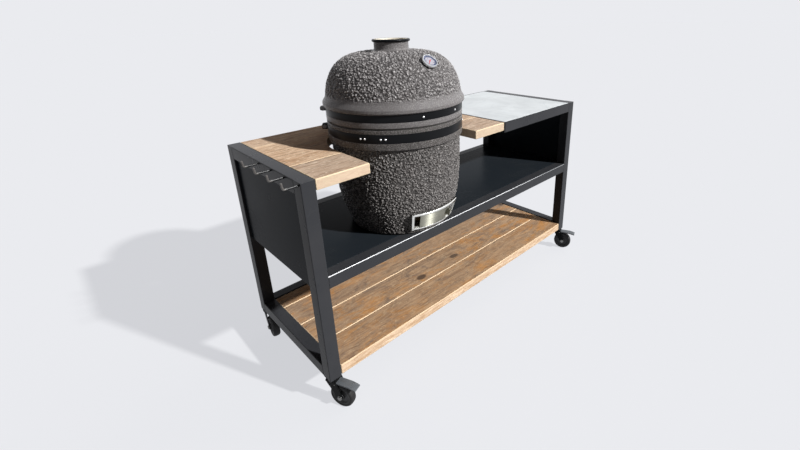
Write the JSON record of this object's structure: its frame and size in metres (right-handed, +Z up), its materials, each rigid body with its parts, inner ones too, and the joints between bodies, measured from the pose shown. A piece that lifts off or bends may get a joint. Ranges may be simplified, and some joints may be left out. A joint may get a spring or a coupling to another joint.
{
  "type": "kamado grill table",
  "caption": "Outdoor kitchen trolley: steel-framed table with wood boards, a ceramic worktop tile, an open shelf, swivel casters and a built-in ceramic kamado grill with hinged lid.",
  "frame": {"origin": "centre of the whole part's footprint box, on the floor under the wheels", "axes": "+X to the right of someone standing at the front, along the table's length; +Y from the front to the back; +Z up"},
  "size_m": [1.7444, 0.703, 1.3183],
  "materials": {
    "frame_steel": "satin dark slate powder coat",
    "sheet_steel": "satin near-black powder coat",
    "top_wood": "weathered sawn pine, tan",
    "lower_wood": "weathered sawn pine, warm brown",
    "tile": "matt light grey porcelain",
    "hook_steel": "bright rod",
    "caster_steel": "black coated pressed steel",
    "wheel_rubber": "matt black",
    "pedal_plastic": "matt grey",
    "shell_ceramic": "dark pebbled glaze",
    "fireclay": "matt refractory clay",
    "grate_iron": "seasoned cast iron",
    "gasket_felt": "dense felt",
    "band_steel": "satin black",
    "spring_steel": "bright spring wire",
    "vent_steel": "polished stainless",
    "gauge_metal": "polished bezel, pale dial",
    "needle_paint": "red"
  },
  "bodies": {
    "table": {"post_front_left": "frame_steel", "post_rear_left": "frame_steel", "post_front_right": "frame_steel", "post_rear_right": "frame_steel", "top_end_rail_left": "frame_steel", "top_end_rail_right": "frame_steel", "bottom_end_rail_left": "frame_steel", "bottom_end_rail_right": "frame_steel", "bottom_rear_rail": "frame_steel", "shelf_front_rail": "frame_steel", "shelf_rear_rail": "frame_steel", "shelf_stiffener": "frame_steel", "top_rear_rail": "frame_steel", "tile_front_rail": "frame_steel", "top_divider": "frame_steel", "end_panel_left": "sheet_steel", "end_panel_right": "sheet_steel", "mid_shelf": "sheet_steel", "worktop_tile": "tile", "top_board_1_left": "top_wood", "top_board_1_right": "top_wood", "top_board_2_left": "top_wood", "top_board_2_right": "top_wood", "top_board_3_left": "top_wood", "top_board_3_right": "top_wood", "top_board_4": "top_wood", "lower_board_1": "lower_wood", "lower_board_2": "lower_wood", "lower_board_3": "lower_wood", "lower_board_4": "lower_wood", "hook_1": "hook_steel", "hook_2": "hook_steel", "hook_3": "hook_steel", "hook_4": "hook_steel", "kamado_base": "shell_ceramic", "rim_gasket": "gasket_felt", "firebox": "fireclay", "fire_ring": "fireclay", "charcoal_grate": "grate_iron", "cooking_grate": "grate_iron", "lower_band": "band_steel", "hinge_base_bracket": "band_steel", "hinge_spring": "spring_steel", "draft_frame": "vent_steel"},
    "lid": {"kamado_lid": "shell_ceramic", "upper_band": "band_steel", "hinge_lid_bracket": "band_steel", "gauge_case": "gauge_metal"},
    "needle": {"gauge_needle": "needle_paint"},
    "draft_door": {"draft_door": "vent_steel"},
    "caster_front_left": {"caster_fork_front_left": "caster_steel"},
    "wheel_front_left": {"caster_wheel_front_left": "wheel_rubber"},
    "caster_front_right": {"caster_fork_front_right": "caster_steel"},
    "wheel_front_right": {"caster_wheel_front_right": "wheel_rubber"},
    "caster_rear_left": {"caster_fork_rear_left": "caster_steel"},
    "wheel_rear_left": {"caster_wheel_rear_left": "wheel_rubber"},
    "caster_rear_right": {"caster_fork_rear_right": "caster_steel"},
    "wheel_rear_right": {"caster_wheel_rear_right": "wheel_rubber"},
    "pedal_front_left": {"brake_pedal_front_left": "pedal_plastic"},
    "pedal_front_right": {"brake_pedal_front_right": "pedal_plastic"}
  },
  "joints": [
    {"name": "lid_hinge", "type": "hinge", "parent": "table", "child": "lid", "pos_m": [-0.27103, 0.26274, 1.0273], "axis": [-1, 0, 0], "range_deg": [0, 70], "stiffness_Nm_per_rad": 39, "springref_deg": 85.37},
    {"name": "needle_turn", "type": "hinge", "parent": "lid", "child": "needle", "pos_m": [-0.27103, -0.27779, 1.2393], "axis": [0, 0.6466, -0.7628], "range_deg": [0, 270]},
    {"name": "draft_door_slide", "type": "hinge", "parent": "table", "child": "draft_door", "pos_m": [-0.27103, -0.06226, 0.6343], "axis": [0, 0, 1], "range_deg": [-5.5, 12.5]},
    {"name": "swivel_front_left", "type": "hinge", "parent": "table", "child": "caster_front_left", "pos_m": [-0.79103, -0.24526, 0.122], "axis": [0, 0, 1], "continuous": true},
    {"name": "roll_front_left", "type": "hinge", "parent": "caster_front_left", "child": "wheel_front_left", "pos_m": [-0.77618, -0.28024, 0.05], "axis": [0.9205, 0.3907, 0], "continuous": true},
    {"name": "brake_front_left", "type": "hinge", "parent": "caster_front_left", "child": "pedal_front_left", "pos_m": [-0.78361, -0.26275, 0.1075], "axis": [0.9205, 0.3907, 0], "range_deg": [0, 10]},
    {"name": "swivel_front_right", "type": "hinge", "parent": "table", "child": "caster_front_right", "pos_m": [0.81397, -0.24526, 0.122], "axis": [0, 0, 1], "continuous": true},
    {"name": "roll_front_right", "type": "hinge", "parent": "caster_front_right", "child": "wheel_front_right", "pos_m": [0.82882, -0.28024, 0.05], "axis": [0.9205, 0.3907, 0], "continuous": true},
    {"name": "brake_front_right", "type": "hinge", "parent": "caster_front_right", "child": "pedal_front_right", "pos_m": [0.82139, -0.26275, 0.1075], "axis": [0.9205, 0.3907, 0], "range_deg": [0, 10]},
    {"name": "swivel_rear_left", "type": "hinge", "parent": "table", "child": "caster_rear_left", "pos_m": [-0.79103, 0.32474, 0.122], "axis": [0, 0, 1], "continuous": true},
    {"name": "roll_rear_left", "type": "hinge", "parent": "caster_rear_left", "child": "wheel_rear_left", "pos_m": [-0.79632, 0.28711, 0.05], "axis": [0.9903, -0.1392, 0], "continuous": true},
    {"name": "swivel_rear_right", "type": "hinge", "parent": "table", "child": "caster_rear_right", "pos_m": [0.81397, 0.32474, 0.122], "axis": [0, 0, 1], "continuous": true},
    {"name": "roll_rear_right", "type": "hinge", "parent": "caster_rear_right", "child": "wheel_rear_right", "pos_m": [0.80868, 0.28711, 0.05], "axis": [0.9903, -0.1392, 0], "continuous": true}
  ]
}
